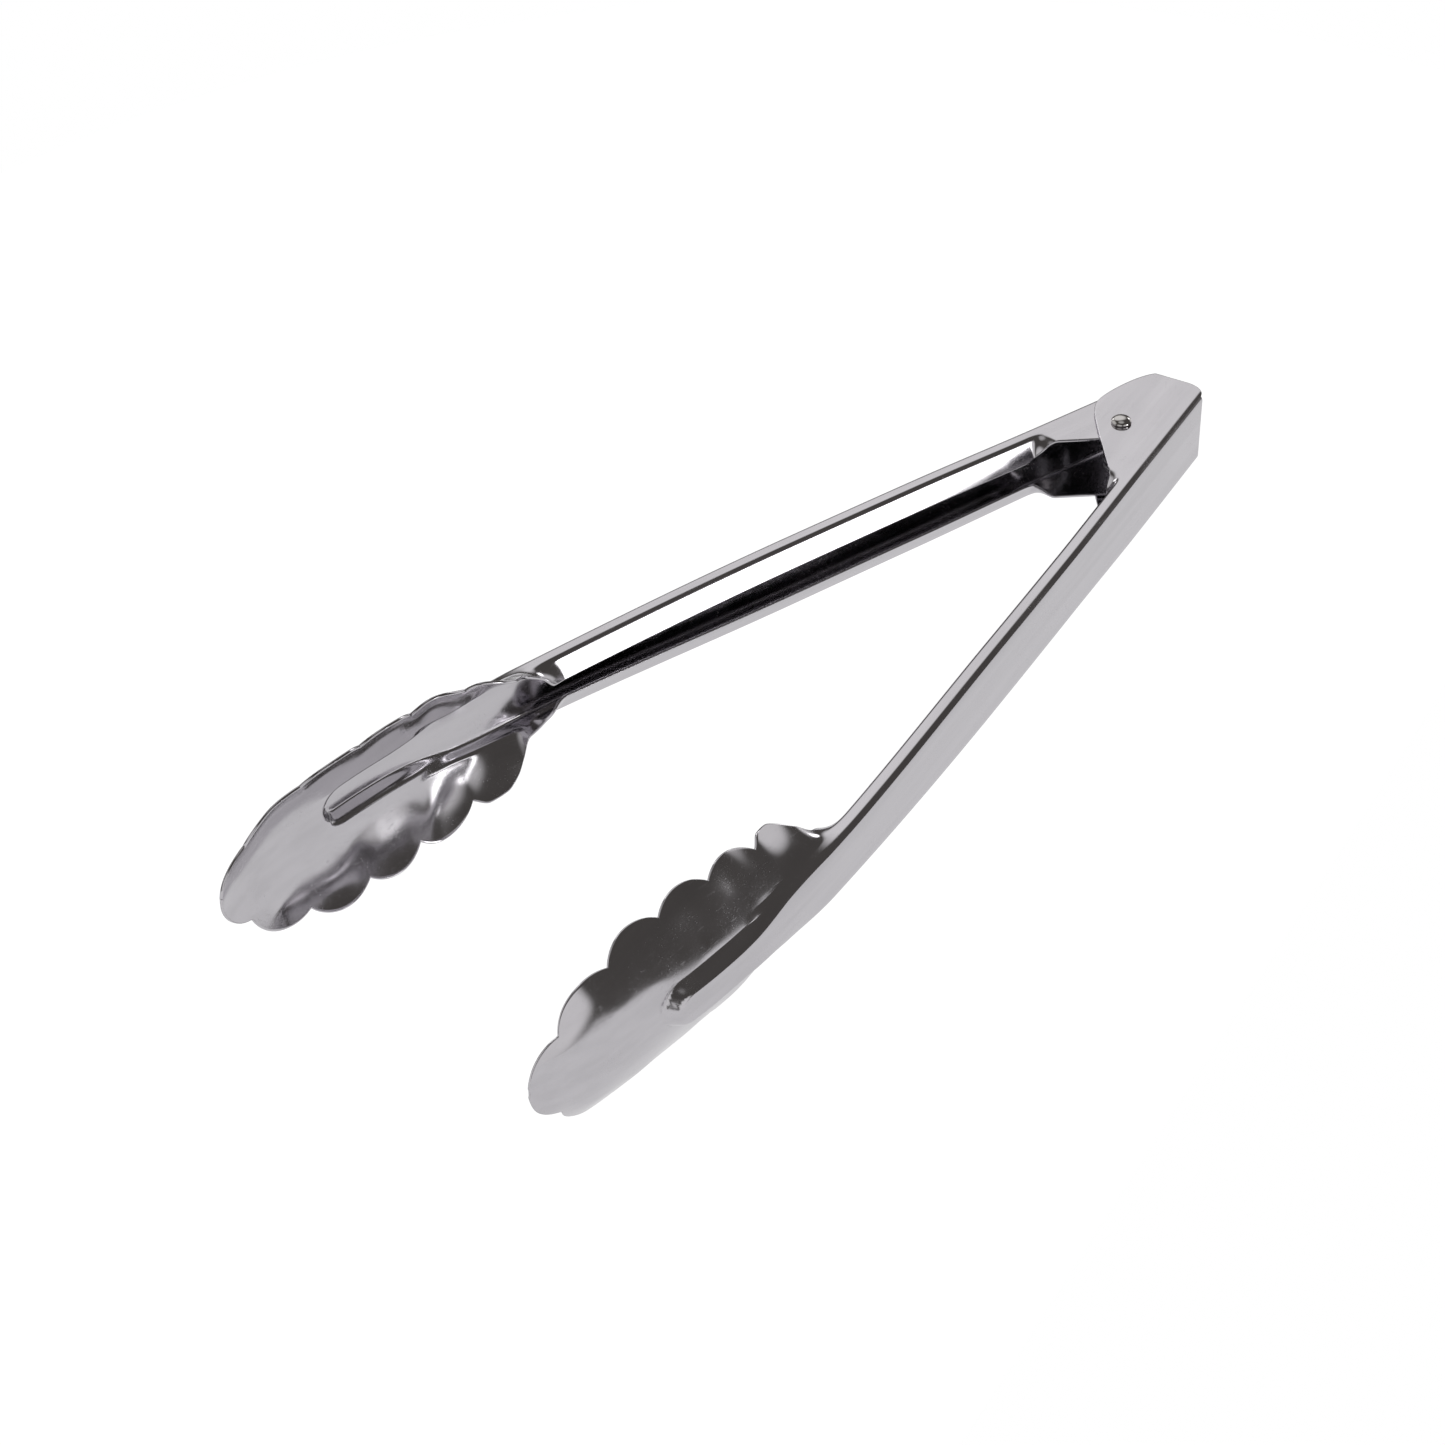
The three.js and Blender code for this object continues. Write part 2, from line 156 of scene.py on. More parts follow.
# The ear's front edge is a straight slant through front_at, as (s, distance past the axis)
ARMS = {
    "outer_arm": {
        "side": 1,
        "body": "outer_body",
        "ear_half_width": EAR_HALF_WIDTH,
        "front_at": (5.7, 4.4),
        "front_slope": 0.68,
        "front_rounding": 4,
        "lip_bend_range": (20, 27),
        "lip_range": (22, 30),
    },
    "inner_arm": {
        "side": -1,
        "body": "inner_body",
        "ear_half_width": EAR_HALF_WIDTH - SHEET - GAP,
        "front_at": (8.3, 0.95),
        "front_slope": 0.65,
        "front_rounding": 2.4,
        "lip_bend_range": (17, 23),
        "lip_range": (19, 26),
    },
}


def rise(span, x):
    """Smooth step from 0 to 1 over span."""
    t = np.clip((x - span[0]) / (span[1] - span[0]), 0, 1)
    return t * t * (3 - 2 * t)


def smooth_min(a, b, rounding):
    """The smaller of two values, with the corner where they cross rounded off."""
    return (a + b - np.hypot(a - b, rounding)) / 2


def smooth_curve(points, x):
    """Monotone cubic curve through a few points."""
    px, py = np.array(points, float).T
    slope = np.diff(py) / np.diff(px)
    before, after = slope[:-1], slope[1:]
    inner = np.where(before * after > 0, 2 * before * after / (before + after + 1e-12), 0)
    tangent = np.concatenate(([slope[0]], inner, [slope[-1]]))
    i = np.clip(np.searchsorted(px, x, side="right") - 1, 0, len(px) - 2)
    h = px[i + 1] - px[i]
    t = (x - px[i]) / h
    start = py[i] * (1 + 2 * t) * (1 - t) ** 2 + h * tangent[i] * t * (1 - t) ** 2
    return start + py[i + 1] * t * t * (3 - 2 * t) + h * tangent[i + 1] * t * t * (t - 1)


def web_line(s):
    """Centre line of the channel's web, and of the rib's crest in the jaw."""
    jaw = np.maximum(0, (s - JAW_SWEEP_START) / (JAW_REACH - JAW_SWEEP_START))
    pivot_end = np.maximum(0, (PIVOT_LEAN_START - s) / (PIVOT_LEAN_START + EAR_REACH))
    return WEB_OFFSET - JAW_SWEEP * jaw**3 - TIP_SWEEP * jaw**7 - PIVOT_LEAN * pivot_end**1.7


def half_width(s, arm):
    """Half the channel's width over its flanges."""
    ear = arm["ear_half_width"]
    handle = ear + (HANDLE_HALF_WIDTH - ear) * rise(EAR_TAPER, s)
    return handle - HANDLE_NARROWING * rise(HANDLE_TAPER, s) - RIB_NARROWING * rise(RIB_TAPER, s)


def section_marks(s, arm):
    """Distances across the blank where its web, bends and flange end."""
    web_flat = half_width(s, arm) - SHEET / 2 - WEB_BEND_RADIUS
    web_bend_end = web_flat + WEB_BEND_RADIUS * WEB_BEND
    lip_bend_start = web_bend_end + FLANGE_FLAT
    lip_bend_end = lip_bend_start + LIP_BEND_RADIUS * LIP_BEND
    return web_flat, web_bend_end, lip_bend_start, lip_bend_end


def ear_edge(s, arm):
    """Distance from the pivot axis to the ear's free edge, towards the other arm."""
    if arm["side"] > 0:
        back = EAR_CURVE_WIDTH * np.sqrt(np.maximum(0, s - EAR_CURVE_VERTEX)) - EAR_CURVE_DROP
    else:
        outer_web_face = web_line(-EAR_REACH) - SHEET / 2 - GAP
        open_angle = 2 * OPEN_HALF_ANGLE
        back = (outer_web_face + s * math.sin(open_angle)) / math.cos(open_angle)
    front_s, front_edge = arm["front_at"]
    front = front_edge - arm["front_slope"] * (s - front_s)
    return smooth_min(back, front, arm["front_rounding"])


def lobe_edge(s, start, end):
    """Arc through two cusps, bulging outwards."""
    half = math.hypot(end[0] - start[0], end[1] - start[1]) / 2
    bulge = LOBE_BULGE * half
    radius = (half * half + bulge * bulge) / (2 * bulge)
    inset = radius - bulge
    centre_s = (start[0] + end[0]) / 2 + (end[1] - start[1]) / (2 * half) * inset
    centre_v = (start[1] + end[1]) / 2 - (end[0] - start[0]) / (2 * half) * inset
    return centre_v + np.sqrt(np.maximum(0, radius * radius - (s - centre_s) ** 2))


def blank_edge(s, arm):
    """Half width of the flat blank at s: the ear, the lipped handle, the neck and the lobes."""
    _, web_bend_end, _, lip_bend_end = section_marks(s, arm)
    handle = lip_bend_end + LIP_FLAT
    ear_s = np.minimum(s, arm["lip_range"][0])
    ear = web_bend_end + web_line(ear_s) + ear_edge(ear_s, arm) - WEB_BEND_RADIUS
    edge = ear + (handle - ear) * rise(arm["lip_range"], s)
    handle_end = section_marks(np.array(float(HANDLE_END)), arm)[3] + LIP_FLAT
    neck = smooth_curve(((HANDLE_END, handle_end), *NECK_EDGE), s)
    edge = np.where(s > HANDLE_END, neck, edge)
    for start, end in zip(CUSPS, CUSPS[1:]):
        edge = np.where(s > start[0], lobe_edge(s, start, end), edge)
    tip = np.sqrt(np.maximum(0, TIP_RADIUS**2 - (s - JAW_REACH + TIP_RADIUS) ** 2))
    return np.where(s > CUSPS[-1][0], tip, edge)


def spans(*pieces):
    """Rows of stations from (start, end, step) pieces."""
    return np.concatenate([np.linspace(a, b, max(2, round((b - a) / step)), endpoint=False)
                           for a, b, step in pieces])


def stations():
    """Places along the arm, closest together round the ears, the neck and the lobes."""
    ears_end = 34
    neck_start = HANDLE_END - 6
    rows = [spans((SHEET_PLAY - EAR_REACH, ears_end, 0.4),
                  (ears_end, neck_start, 1.5),
                  (neck_start, JAW_START, 0.35))]
    for start, end in zip(CUSPS, CUSPS[1:]):
        turn = np.linspace(0, math.pi, 34, endpoint=False)
        rows.append(start[0] + (end[0] - start[0]) * (1 - np.cos(turn)) / 2)
    tip_start = math.acos((TIP_RADIUS - TIP_LENGTH) / TIP_RADIUS)
    tip_end = 0.1  # a little short of the very tip, so the last row has some width
    turn = np.linspace(tip_start, tip_end, 30)
    rows.append(JAW_REACH - TIP_RADIUS * (1 - np.cos(turn)))
    return np.concatenate(rows)


def columns(s, arm):
    """Distances across the blank for every station: web, bend, flange, bend, lip or wall."""
    edge = blank_edge(s, arm)
    marks = section_marks(s, arm)
    narrowest_wall = 2
    fit = np.minimum(1, edge / (marks[3] + narrowest_wall))
    ends = [np.zeros_like(s), *[mark * fit for mark in marks], edge]
    faces_across = (10, 8, 4, 8, 18)
    parts = [start[:, None] + (end - start)[:, None] * np.arange(count) / count
             for start, end, count in zip(ends, ends[1:], faces_across)]
    return np.hstack([*parts, edge[:, None]])


def integrate_angle(angle_at, distances):
    """Points (across, depth) at the given distances along a line that turns as angle_at says."""
    step = 0.04
    fine = np.arange(0, distances.max() + step, step)
    knots = np.append(fine, fine[-1] + step)
    angle = angle_at(fine[None, :] + step / 2)

    def sum_up(rates):
        totals = np.hstack([np.zeros((len(rates), 1)), np.cumsum(rates * step, axis=1)])
        return np.array([np.interp(d, knots, row) for d, row in zip(distances, totals)])

    return sum_up(np.cos(angle)), sum_up(np.sin(angle))


def channel_section(s, arm, v):
    """Handle and neck: the sheet follows its two bends and the start of the jaw's hollow."""
    marks = (mark[:, None] for mark in section_marks(s, arm))
    web_flat, web_bend_end, lip_bend_start, lip_bend_end = marks
    web = WEB_BEND * (1 - WEB_BEND_OPENING * rise((HANDLE_END, JAW_START), s))
    lip = LIP_BEND * (rise(arm["lip_bend_range"], s)
                      - LIP_WAIST_OPENING * rise((HANDLE_END, NECK_WAIST), s)
                      - LIP_JAW_OPENING * rise((NECK_WAIST, JAW_START), s))
    hollow = jaw_hollow(s)

    def angle_at(d):
        ramp1 = np.clip((d - web_flat) / (web_bend_end - web_flat), 0, 1)
        ramp2 = np.clip((d - lip_bend_start) / (lip_bend_end - lip_bend_start), 0, 1)
        return hollow[:, None] * d + web[:, None] * ramp1 + lip[:, None] * ramp2

    return integrate_angle(angle_at, v)


def jaw_hollow(s):
    """Curvature across the jaw."""
    return rise(SCOOP_RANGE, s) / SCOOP_RADIUS + rise(TIP_CUP_RANGE, s) / TIP_CUP_RADIUS


def wing_section(v, crest, base):
    """Across, depth and slope of a wing: flat crest, a bend at its edge, then a long curve."""
    bend = WING_ANGLE * np.clip((v - crest) / (base - crest), 0, 1)
    bend_radius = (base - crest) / WING_ANGLE
    end = WING_ANGLE + np.maximum(0, v - base) / WING_RADIUS
    across = (np.minimum(v, crest) + bend_radius * np.sin(bend)
              + WING_RADIUS * (np.sin(end) - math.sin(WING_ANGLE)))
    depth = (bend_radius * (1 - np.cos(bend))
             + WING_RADIUS * (math.cos(WING_ANGLE) - np.cos(end)))
    return across, depth, bend + end - WING_ANGLE


def jaw_section(s, arm, v):
    """Jaw: a raised rib that ends in a half round, a wing on each side, dished lobes."""
    crest, base = (mark[:, None] for mark in section_marks(s, arm)[:2])
    station = s[:, None]
    past_end = np.maximum(0, station - (RIB_END - base))
    plate = RIB_HEIGHT * rise(RIB_RISE, station) * (1 - rise(PLATE_RETURN, station))
    drop = plate * rise((0, 1), (np.hypot(v, past_end) - crest) / (base - crest))
    curvature = np.maximum(jaw_hollow(s), 1e-6)[:, None]
    arc = curvature * v
    round_across = np.sin(arc) / curvature
    round_depth = (1 - np.cos(arc)) / curvature
    wing_across, wing_depth, wing_slope = wing_section(v, crest, base)
    winged = rise(RIB_BLEND, station) * (1 - rise(WING_FADE, station))
    across = round_across + (wing_across - round_across) * winged
    depth = round_depth + (wing_depth - round_depth) * winged
    slope = arc + (wing_slope - arc) * winged
    dish = LOBE_DISH * lobe_dish(s, v)
    return across + dish * np.sin(slope), depth + drop - dish * np.cos(slope)


def lobe_dish(s, v):
    """How far each lobe is dished, from 0 at its root, cusps and edge to 1 in its middle."""
    along = np.zeros_like(s)
    for start, end in zip(CUSPS, CUSPS[1:]):
        inside = (s > start[0]) & (s < end[0])
        along = np.where(inside, np.sin(np.pi * (s - start[0]) / (end[0] - start[0])) ** 2, along)
    edge = v.max(axis=1)
    root = LOBE_ROOT * edge
    outwards = np.clip((v - root[:, None]) / (edge - root)[:, None], 0, 1)
    return along[:, None] * np.sin(np.pi * outwards) ** 2


def back_end(s, v, arm):
    """The web stops short of the ears' square back end, and the corner between is round."""
    front = BACK_CORNER_FRONT
    web_flat, web_bend_end = section_marks(s, arm)[:2]
    corner_start = ((web_flat + web_bend_end) / 2)[:, None]
    corner = 1 - np.clip((v - corner_start) / BACK_CORNER_WIDTH, 0, 1)
    reach = WEB_REACH + (EAR_REACH - WEB_REACH) * np.sqrt(1 - corner * corner)
    moved = front + (s[:, None] - front) * (reach + front) / (EAR_REACH + front)
    return np.where(s[:, None] >= front, s[:, None], moved)


def middle_surface(arm):
    """Grid of points on the middle of the arm's sheet, rows along s and columns across."""
    s = stations()
    v = columns(s, arm)
    across, depth = channel_section(s, arm, v)
    jaw_across, jaw_depth = jaw_section(s, arm, v)
    in_jaw = rise(RIB_BLEND, s)[:, None]
    across += (jaw_across - across) * in_jaw
    depth += (jaw_depth - depth) * in_jaw
    place = back_end(s, v, arm)
    u = web_line(place) - depth
    half = np.stack([place, u, across], axis=-1)
    mirrored = half[:, :0:-1] * (1, 1, -1)
    return np.concatenate([mirrored, half], axis=1)


def unit(vectors):
    """The same directions with length 1."""
    return vectors / np.maximum(np.linalg.norm(vectors, axis=-1, keepdims=True), 1e-12)


def rim_loop(rows, cols):
    """Row and column numbers of a grid's rim points, once round."""
    loop = [(0, j) for j in range(cols)]
    loop += [(i, cols - 1) for i in range(1, rows)]
    loop += [(rows - 1, j) for j in range(cols - 2, -1, -1)]
    loop += [(i, 0) for i in range(rows - 2, 0, -1)]
    return tuple(np.array(loop).T)


def thick_sheet(grid, thickness):
    """Closed mesh of a sheet with rounded rims round a grid of middle surface points."""
    along = np.gradient(grid, axis=0)
    across = np.gradient(grid, axis=1)
    normal = unit(np.cross(across, along))
    rows, cols = grid.shape[:2]
    outward = np.zeros_like(grid)
    outward[0] -= unit(along[0])
    outward[-1] += unit(along[-1])
    outward[:, 0] -= unit(across[:, 0])
    outward[:, -1] += unit(across[:, -1])
    loop = rim_loop(rows, cols)
    rim = unit(outward[loop])
    rounding = thickness * RIM_ROUNDING
    inset = grid.copy()
    inset[loop] -= rim * rounding
    top = (inset + normal * thickness / 2).reshape(-1, 3)
    bottom = (inset - normal * thickness / 2).reshape(-1, 3)
    rings = []
    for turn in (30, 60, 90, 120, 150):
        out = rim * (rounding * math.sin(math.radians(turn)))
        up = normal[loop] * (thickness / 2 * math.cos(math.radians(turn)))
        rings.append(inset[loop] + out + up)
    points = np.concatenate([top, bottom, *rings])
    index = np.arange(rows * cols).reshape(rows, cols)
    corners = (index[:-1, :-1], index[:-1, 1:], index[1:, 1:], index[1:, :-1])
    top_faces = np.stack(corners, axis=-1).reshape(-1, 4)
    faces = [top_faces, top_faces[:, ::-1] + rows * cols]
    ring_points = 2 * rows * cols + np.arange(len(rim))
    ring_loops = [ring_points + k * len(rim) for k in range(len(rings))]
    loops = [index[loop], *ring_loops, index[loop] + rows * cols]
    for upper, lower in zip(loops, loops[1:]):
        faces.append(np.stack([upper, lower, np.roll(lower, -1), np.roll(upper, -1)], axis=-1))
    return points, np.concatenate(faces)


def new_object(name, points, faces, smooth=True):
    """Adds a mesh object to the scene."""
    mesh = bpy.data.meshes.new(name)
    mesh.from_pydata([tuple(p) for p in points], [], [tuple(f) for f in faces])
    mesh.validate()
    if smooth:
        mesh.shade_smooth()
    piece = bpy.data.objects.new(name, mesh)
    bpy.context.scene.collection.objects.link(piece)
    return piece


def fix_normals(piece):
    """Turns every face of a closed mesh outwards."""
    bm = bmesh.new()
    bm.from_mesh(piece.data)
    bmesh.ops.recalc_face_normals(bm, faces=bm.faces)
    bm.to_mesh(piece.data)
    bm.free()


def arm_piece(name, arm):
    """One stamped arm at its open rest place."""
    points, faces = thick_sheet(middle_surface(arm), SHEET - SHEET_PLAY)
    points[:, 1] *= arm["side"]
    turn = Matrix.Rotation(arm["side"] * OPEN_HALF_ANGLE, 3, "Z")
    placed = points * MM @ np.array(turn.transposed()) + np.array(PIVOT)
    piece = new_object(name + "_sheet", placed, faces)
    fix_normals(piece)
    return piece


def revolve(profile, segments):
    """Closed mesh of a profile of (radius, height) points that starts and ends on the axis."""
    points = [(0, 0, profile[0][1])]
    for radius, height in profile[1:-1]:
        for k in range(segments):
            turn = 2 * math.pi * k / segments
            points.append((radius * math.cos(turn), radius * math.sin(turn), height))
    points.append((0, 0, profile[-1][1]))
    rings = len(profile) - 2

    def ring(r, k):
        return 1 + r * segments + k % segments

    faces = [(0, ring(0, k + 1), ring(0, k)) for k in range(segments)]
    for r in range(rings - 1):
        for k in range(segments):
            faces.append((ring(r, k), ring(r, k + 1), ring(r + 1, k + 1), ring(r + 1, k)))
    last = len(points) - 1
    faces += [(last, ring(rings - 1, k), ring(rings - 1, k + 1)) for k in range(segments)]
    return np.array(points, float), faces


def rivet_piece():
    """Rivet with a low domed head on each side, seated on the outer ears."""
    seat = EAR_HALF_WIDTH + RIVET_HEAD_PLAY
    rim_top = seat + RIVET_HEAD_RIM
    dome_height = RIVET_HEAD_HEIGHT - RIVET_HEAD_RIM
    dome_steps = 16
    upper = []
    for k in range(dome_steps + 1):
        turn = k / dome_steps * math.pi / 2
        upper.append((RIVET_HEAD_RADIUS * math.sin(turn), rim_top + dome_height * math.cos(turn)))
    upper.append((RIVET_HEAD_RADIUS, seat + RIVET_HEAD_SHOULDER))
    upper.append((RIVET_HEAD_RADIUS - RIVET_HEAD_SHOULDER, seat))
    upper.append((RIVET_RADIUS, seat))
    profile = [(radius, -height) for radius, height in upper] + upper[::-1]
    points, faces = revolve(profile, 72)
    piece = new_object("rivet", points * MM + np.array(PIVOT), faces)
    fix_normals(piece)
    return piece


def spring_line():
    """Centre line of the torsion spring: a straight leg along each web and a coil between."""
    leg_u = web_line(SPRING_LEG_REACH) - SHEET / 2 - WIRE_RADIUS - 2 * GAP
    leg_angle = math.atan2(leg_u, SPRING_LEG_REACH) + OPEN_HALF_ANGLE
    leg_reach = math.hypot(SPRING_LEG_REACH, leg_u)
    leave = leg_angle + math.acos(COIL_RADIUS / leg_reach)
    leg_length = math.sqrt(leg_reach**2 - COIL_RADIUS**2)
    sweep = 2 * (math.pi - leave) + COIL_TURNS * 2 * math.pi
    coil_length = sweep * COIL_RADIUS
    coil_height = sweep / (2 * math.pi) * (2 * WIRE_RADIUS + GAP)
    coil = np.linspace(0, coil_length, 300)
    legs = np.linspace(0, leg_length, 24)[1:]
    place = np.concatenate([-legs[::-1], coil, coil_length + legs])
    along = np.clip(place, 0, coil_length)
    turn = leave + along / COIL_RADIUS
    beyond = place - along
    return np.stack([COIL_RADIUS * np.cos(turn) - np.sin(turn) * beyond,
                     COIL_RADIUS * np.sin(turn) + np.cos(turn) * beyond,
                     coil_height * (along / coil_length - 0.5)], axis=-1)


def spring_piece():
    """Round wire along the spring's line, with its ends rounded off."""
    line = spring_line()
    tangent = unit(np.gradient(line, axis=0))
    side = unit(np.cross(tangent, (0, 0, 1)))
    up = np.cross(side, tangent)
    sides = 20
    turn = np.linspace(0, 2 * math.pi, sides, endpoint=False)
    round_off = np.array([0.35, 0.75, 0.95])
    radius = np.concatenate([round_off, np.ones(len(line) - 6), round_off[::-1]]) * WIRE_RADIUS
    ring = side[:, None] * np.cos(turn)[None, :, None] + up[:, None] * np.sin(turn)[None, :, None]
    points = (line[:, None] + ring * radius[:, None, None]).reshape(-1, 3)
    faces = []
    for i in range(len(line) - 1):
        for k in range(sides):
            a = i * sides + k
            b = i * sides + (k + 1) % sides
            faces.append((a, b, b + sides, a + sides))
    faces.append(tuple(range(sides)))
    faces.append(tuple(range((len(line) - 1) * sides, len(line) * sides)))
    piece = new_object("spring_wire", points * MM + np.array(PIVOT), faces)
    fix_normals(piece)
    return piece


def cut_rivet_hole(piece):
    """Drills the rivet hole through both ears of an arm."""
    radius = RIVET_RADIUS + RIVET_HOLE_PLAY
    reach = 2 * EAR_HALF_WIDTH
    profile = [(0, -reach), (radius, -reach), (radius, reach), (0, reach)]
    points, faces = revolve(profile, 64)
    drill = new_object("drill", points * MM + np.array(PIVOT), faces)
    fix_normals(drill)
    cut = piece.modifiers.new("hole", "BOOLEAN")
    cut.object = drill
    cut.operation = "DIFFERENCE"
    cut.solver = "EXACT"
    bpy.context.view_layer.update()
    drilled = piece.evaluated_get(bpy.context.evaluated_depsgraph_get())
    cut_mesh = bpy.data.meshes.new_from_object(drilled)
    piece.modifiers.clear()
    piece.data = cut_mesh
    piece.data.shade_smooth()
    bpy.data.objects.remove(drill)


def direction(azimuth, elevation):
    """Unit vector at angles given in degrees, round from +X and up from the floor."""
    a = math.radians(azimuth)
    e = math.radians(elevation)
    return Vector((math.cos(a) * math.cos(e), math.sin(a) * math.cos(e), math.sin(e)))


class Nodes:
    """Short way to add and join the nodes of one node tree."""

    def __init__(self, tree):
        self.tree = tree
        tree.nodes.clear()

    def add(self, kind, inputs=None, **settings):
        made = self.tree.nodes.new(kind)
        for name, value in settings.items():
            setattr(made, name, value)
        for key, value in (inputs or {}).items():
            if isinstance(value, bpy.types.NodeSocket):
                self.tree.links.new(value, made.inputs[key])
            else:
                made.inputs[key].default_value = value
        return made

    def math(self, operation, a, b=0.0):
        return self.add("ShaderNodeMath", {0: a, 1: b}, operation=operation).outputs[0]

    def step(self, value, low, high, out_low=0.0, out_high=1.0):
        """Smooth step from out_low to out_high while the value goes from low to high."""
        inputs = {0: value, 1: low, 2: high, 3: out_low, 4: out_high}
        return self.add("ShaderNodeMapRange", inputs, interpolation_type="SMOOTHSTEP").outputs[0]

    def noise(self, vector, scale, detail=2.0, roughness=0.5):
        inputs = {"Vector": vector, "Scale": scale, "Detail": detail, "Roughness": roughness}
        return self.add("ShaderNodeTexNoise", inputs).outputs[0]

    def mapping(self, vector, scale=(1, 1, 1), rotation=(0, 0, 0)):
        inputs = {"Vector": vector, "Scale": scale, "Rotation": rotation}
        return self.add("ShaderNodeMapping", inputs).outputs[0]

    def blend(self, factor, first, second, **settings):
        """Mix of two colours."""
        inputs = {0: factor, 6: first, 7: second}
        return self.add("ShaderNodeMix", inputs, data_type="RGBA", **settings).outputs[2]

    def bump(self, strength, distance, height, **inputs):
        inputs.update(Strength=strength, Distance=distance, Height=height)
        return self.add("ShaderNodeBump", inputs).outputs[0]


# Polished steels: base colour, middle roughness. The streaks darken the colour at most to
# STREAK_SHADE of itself.
ARM_STEEL = ((0.6, 0.583, 0.612), 0.13)
RIVET_STEEL = ((0.6, 0.58, 0.57), 0.1)
SPRING_STEEL = ((0.4, 0.4, 0.41), 0.3)
STREAK_SHADE = 0.93

# Sizes of the noises, in cycles per metre: along the piece and across it where they differ
STREAK_SCALE = (12, 260, 260)
WAVE_SCALE = (14, 45, 45)
CLOUD_SCALE = 90.0
SPECK_SCALE = 2600.0
SCRATCH_SCALE_ALONG = 45

# Fine scratches run three ways: angle in degrees, cycles per metre across them
SCRATCHES = ((8, 2600), (-23, 3200), (61, 3600))


def scratch_marks(n, along):
    """Three sets of fine straight scratches, 1 in a scratch and 0 elsewhere."""
    sets = []
    for angle, width in SCRATCHES:
        tilt = (math.radians(4), math.radians(7), math.radians(angle))
        turned = n.mapping(along, rotation=tilt)
        lines = n.mapping(turned, scale=(SCRATCH_SCALE_ALONG, width, width * 0.5))
        sets.append(n.step(n.noise(lines, 1.0, 1.0), 0.69, 0.74))
    return n.math("MAXIMUM", n.math("MAXIMUM", sets[0], sets[1]), sets[2])


def steel(name, colour, roughness, turn=0.0):
    """Polished sheet steel: soft streaks and waves along the piece, fine scratches and specks."""
    material = bpy.data.materials.new(name)
    material.use_nodes = True
    n = Nodes(material.node_tree)
    place = n.add("ShaderNodeTexCoord").outputs["Object"]
    along = n.mapping(place, rotation=(0, 0, -turn))
    streaks = n.noise(n.mapping(along, scale=STREAK_SCALE), 1.0, 3.0)
    cloud = n.noise(along, CLOUD_SCALE, 3.0)
    specks = n.noise(along, SPECK_SCALE, 1.0)
    patchy_specks = n.math("MULTIPLY", specks, n.step(cloud, 0.3, 0.75, 0.7, 1.05))
    speck_marks = n.math("MULTIPLY", n.step(patchy_specks, 0.62, 0.75), 0.6)
    marks = n.math("MAXIMUM", n.math("MULTIPLY", scratch_marks(n, along), 0.35), speck_marks)
    cloudy = n.step(cloud, 0.3, 0.7, roughness * 0.75, roughness * 1.3)
    rough = n.math("ADD", cloudy, n.math("MULTIPLY", marks, 0.28))
    darker = [channel * STREAK_SHADE for channel in colour]
    tone = n.blend(n.step(streaks, 0.3, 0.7), (*darker, 1), (*colour, 1))
    waves = n.noise(n.mapping(along, scale=WAVE_SCALE), 1.0, 1.0)
    wave_bump = n.bump(0.06, 0.0006, waves)
    fine = n.math("ADD", n.math("MULTIPLY", marks, -0.6), n.math("MULTIPLY", specks, 0.25))
    fine_bump = n.bump(0.05, 0.00003, fine, Normal=wave_bump)
    shader = n.add("ShaderNodeBsdfPrincipled", {
        "Base Color": tone,
        "Metallic": 1.0,
        "Roughness": rough,
        "Normal": fine_bump,
    })
    n.add("ShaderNodeOutputMaterial", {"Surface": shader.outputs[0]})
    return material


# Camera at the photograph's viewpoint, angles in degrees
CAMERA_AZIMUTH = 41.3
CAMERA_ELEVATION = 38.3
CAMERA_ROLL = -0.506
CAMERA_DISTANCE = 1.031
CAMERA_LENS = 98.1
CAMERA_SENSOR = 36
CAMERA_AIM = PIVOT + Vector((0.1011, -0.0502, -0.0542))

# Soft light panels round the object. Angles are in degrees: where each panel's centre is,
# how wide its even part is and where it has faded to nothing.
STUDIO_DARKNESS = (0.082, 0.077, 0.072)
BACKDROP = (1, 1, 1)
PANELS = (
    {"azimuth": 228, "elevation": 40, "even": 14, "faded": 32, "strength": 0.86},  # over the ears
    {"azimuth": 84, "elevation": 4, "even": 18, "faded": 32, "strength": 0.75},  # by the outer jaw
    {"azimuth": 176, "elevation": 2, "even": 10, "faded": 24, "strength": 0.7},  # by the inner jaw
    {"azimuth": 255, "elevation": 18, "even": 4, "faded": 8, "strength": 3.2},  # on the rivet's dome
    {"azimuth": 187, "elevation": 20, "even": 4, "faded": 8, "strength": 3.2},  # on the rivet's dome
    {"azimuth": 0, "elevation": 90, "even": 6, "faded": 24, "strength": 0.45},  # overhead
    {"azimuth": 20, "elevation": 10, "even": 16, "faded": 34, "strength": 0.6},  # beyond the jaws
    {"azimuth": 300, "elevation": 18, "even": 22, "faded": 40, "strength": 0.6},  # inner arm's side
)

# The floor is a disc, cut off along a line that runs FLOOR_MARGIN outside the outer arm. The
# jaws touch it JAWS_ON_FLOOR from the pivot. It glows more as the camera sees it than as the
# steel mirrors it.
FLOOR_RADIUS = 0.36
FLOOR_SIDES = 96
FLOOR_MARGIN = 0.105
FLOOR_CLEARANCE = 0.0002
FLOOR_COLOUR = (0.2, 0.2, 0.205)
FLOOR_GLOW_SEEN = 0.98
FLOOR_GLOW_CAST = 0.72
JAWS_ON_FLOOR = 0.235

# The softbox shines on the inner arm's lip
SOFTBOX_AIM = PIVOT + Vector((0.095, -0.02, 0.008))
SOFTBOX_AZIMUTH = 106
SOFTBOX_ELEVATION = 4
SOFTBOX_DISTANCE = 0.26
SOFTBOX_SIZE = (0.2, 0.1)
SOFTBOX_SPREAD = math.radians(28)
SOFTBOX_ENERGY = 0.01


